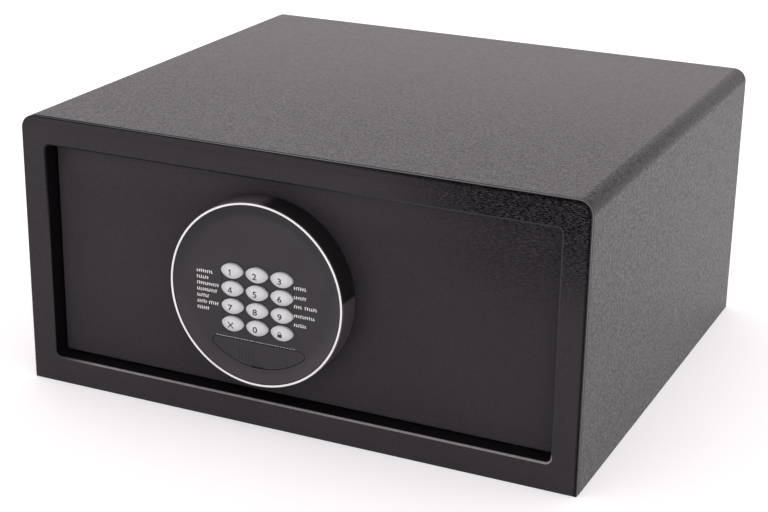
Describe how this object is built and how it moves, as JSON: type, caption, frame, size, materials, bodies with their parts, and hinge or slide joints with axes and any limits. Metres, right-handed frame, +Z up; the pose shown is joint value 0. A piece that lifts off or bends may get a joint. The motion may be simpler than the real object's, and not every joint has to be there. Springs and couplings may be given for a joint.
{
  "type": "safe deposit box",
  "caption": "Low steel room safe: welded cabinet, recessed swing door on concealed pivots, round push-button keypad and motor-driven round bolts.",
  "frame": {"origin": "centre of the cabinet's footprint, on its resting face", "axes": "+X to the right seen from the front, +Y from the door to the back, +Z up"},
  "size_m": [0.42, 0.3783, 0.2],
  "materials": {
    "shell_paint": "black powder coat with a fine leather texture",
    "door_paint": "black powder coat, fine texture",
    "inner_paint": "matt black powder coat",
    "zinc_steel": "zinc-plated steel",
    "raw_steel": "blackened steel",
    "bolt_steel": "turned and nickel-plated",
    "brass": "turned brass",
    "lock_chrome": "satin chrome",
    "ring_chrome": "bright",
    "housing_black": "fine matt moulding",
    "face_black": "semi-gloss",
    "key_grey": "satin light grey",
    "rubber_black": "matt",
    "mat_grey": "silicone",
    "felt": "needle felt",
    "board_green": "solder mask",
    "box_black": "fine spark texture",
    "cell_sleeve": "shrink sleeve",
    "lead_red": "PVC",
    "lead_grey": "PVC"
  },
  "bodies": {
    "cabinet": {"cabinet_shell": "shell_paint", "base_plate": "inner_paint", "back_panel": "shell_paint", "front_frame": "shell_paint", "bolt_keeper": "raw_steel", "door_stops": "raw_steel", "pivot_bushes": "zinc_steel", "thrust_washer": "brass", "floor_mat": "felt"},
    "door": {"door_plate": "door_paint", "hinge_blocks": "raw_steel", "upper_hinge_pin": "zinc_steel", "lower_hinge_pin": "zinc_steel", "inner_cover": "inner_paint", "cover_posts": "zinc_steel", "cover_screws": "zinc_steel", "housing_gasket": "rubber_black", "keypad_housing": "housing_black", "trim_ring": "ring_chrome", "face_panel": "face_black", "lock_well": "face_black", "key_mat": "mat_grey", "circuit_board": "board_green", "board_screws": "zinc_steel", "housing_screws": "zinc_steel", "cable_grommet": "rubber_black", "lock_barrel": "lock_chrome", "lock_nut": "zinc_steel", "bolt_guides": "raw_steel", "carriage_guides": "zinc_steel", "motor_bracket": "zinc_steel", "gear_motor": "zinc_steel", "motor_screws": "zinc_steel", "battery_box": "box_black", "batteries": "cell_sleeve", "battery_contacts": "zinc_steel", "battery_lead": "lead_red", "motor_lead": "lead_grey"},
    "bolt_work": {"bolt_carriage": "zinc_steel", "upper_bolt": "bolt_steel", "lower_bolt": "bolt_steel", "bolt_clips": "zinc_steel"},
    "drive_pinion": {"motor_pinion": "brass"},
    "lock_core": {"lock_plug": "brass", "lock_cam": "zinc_steel", "cam_screw": "zinc_steel"},
    "override_cap": {"lock_cover": "face_black"},
    "battery_lid": {"battery_cover": "box_black"},
    "button_1": {"key_1": "key_grey"},
    "button_2": {"key_2": "key_grey"},
    "button_3": {"key_3": "key_grey"},
    "button_4": {"key_4": "key_grey"},
    "button_5": {"key_5": "key_grey"},
    "button_6": {"key_6": "key_grey"},
    "button_7": {"key_7": "key_grey"},
    "button_8": {"key_8": "key_grey"},
    "button_9": {"key_9": "key_grey"},
    "button_clear": {"key_clear": "key_grey"},
    "button_0": {"key_0": "key_grey"},
    "button_lock": {"key_lock": "key_grey"}
  },
  "joints": [
    {"name": "door_hinge", "type": "hinge", "parent": "cabinet", "child": "door", "pos_m": [0.16096, -0.165, 0.1], "axis": [0, 0, 1], "range_deg": [0, 100]},
    {"name": "bolt_throw", "type": "slide", "parent": "door", "child": "bolt_work", "axis": [-1, 0, 0], "range_m": [0, 0.012]},
    {"name": "pinion_turn", "type": "hinge", "parent": "door", "child": "drive_pinion", "pos_m": [0.0205, -0.15, 0.117], "axis": [0, 1, 0], "range_deg": [0, 98.5]},
    {"name": "lock_turn", "type": "hinge", "parent": "door", "child": "lock_core", "pos_m": [-0.0205, -0.16, 0.0555], "axis": [0, -1, 0], "range_deg": [-90, 0]},
    {"name": "override_cap_off", "type": "slide", "parent": "door", "child": "override_cap", "axis": [0, -1, 0], "range_m": [0, 0.03]},
    {"name": "battery_lid_off", "type": "slide", "parent": "door", "child": "battery_lid", "axis": [0, 1, 0], "range_m": [0, 0.04]},
    {"name": "press_1", "type": "slide", "parent": "door", "child": "button_1", "axis": [0, 1, 0], "range_m": [0, 0.001], "stiffness_N_per_m": 1000},
    {"name": "press_2", "type": "slide", "parent": "door", "child": "button_2", "axis": [0, 1, 0], "range_m": [0, 0.001], "stiffness_N_per_m": 1000},
    {"name": "press_3", "type": "slide", "parent": "door", "child": "button_3", "axis": [0, 1, 0], "range_m": [0, 0.001], "stiffness_N_per_m": 1000},
    {"name": "press_4", "type": "slide", "parent": "door", "child": "button_4", "axis": [0, 1, 0], "range_m": [0, 0.001], "stiffness_N_per_m": 1000},
    {"name": "press_5", "type": "slide", "parent": "door", "child": "button_5", "axis": [0, 1, 0], "range_m": [0, 0.001], "stiffness_N_per_m": 1000},
    {"name": "press_6", "type": "slide", "parent": "door", "child": "button_6", "axis": [0, 1, 0], "range_m": [0, 0.001], "stiffness_N_per_m": 1000},
    {"name": "press_7", "type": "slide", "parent": "door", "child": "button_7", "axis": [0, 1, 0], "range_m": [0, 0.001], "stiffness_N_per_m": 1000},
    {"name": "press_8", "type": "slide", "parent": "door", "child": "button_8", "axis": [0, 1, 0], "range_m": [0, 0.001], "stiffness_N_per_m": 1000},
    {"name": "press_9", "type": "slide", "parent": "door", "child": "button_9", "axis": [0, 1, 0], "range_m": [0, 0.001], "stiffness_N_per_m": 1000},
    {"name": "press_clear", "type": "slide", "parent": "door", "child": "button_clear", "axis": [0, 1, 0], "range_m": [0, 0.001], "stiffness_N_per_m": 1000},
    {"name": "press_0", "type": "slide", "parent": "door", "child": "button_0", "axis": [0, 1, 0], "range_m": [0, 0.001], "stiffness_N_per_m": 1000},
    {"name": "press_lock", "type": "slide", "parent": "door", "child": "button_lock", "axis": [0, 1, 0], "range_m": [0, 0.001], "stiffness_N_per_m": 1000}
  ],
  "couplings": [
    {"joint": "pinion_turn", "follows": "bolt_throw", "rad_per_m": 142.86}
  ]
}
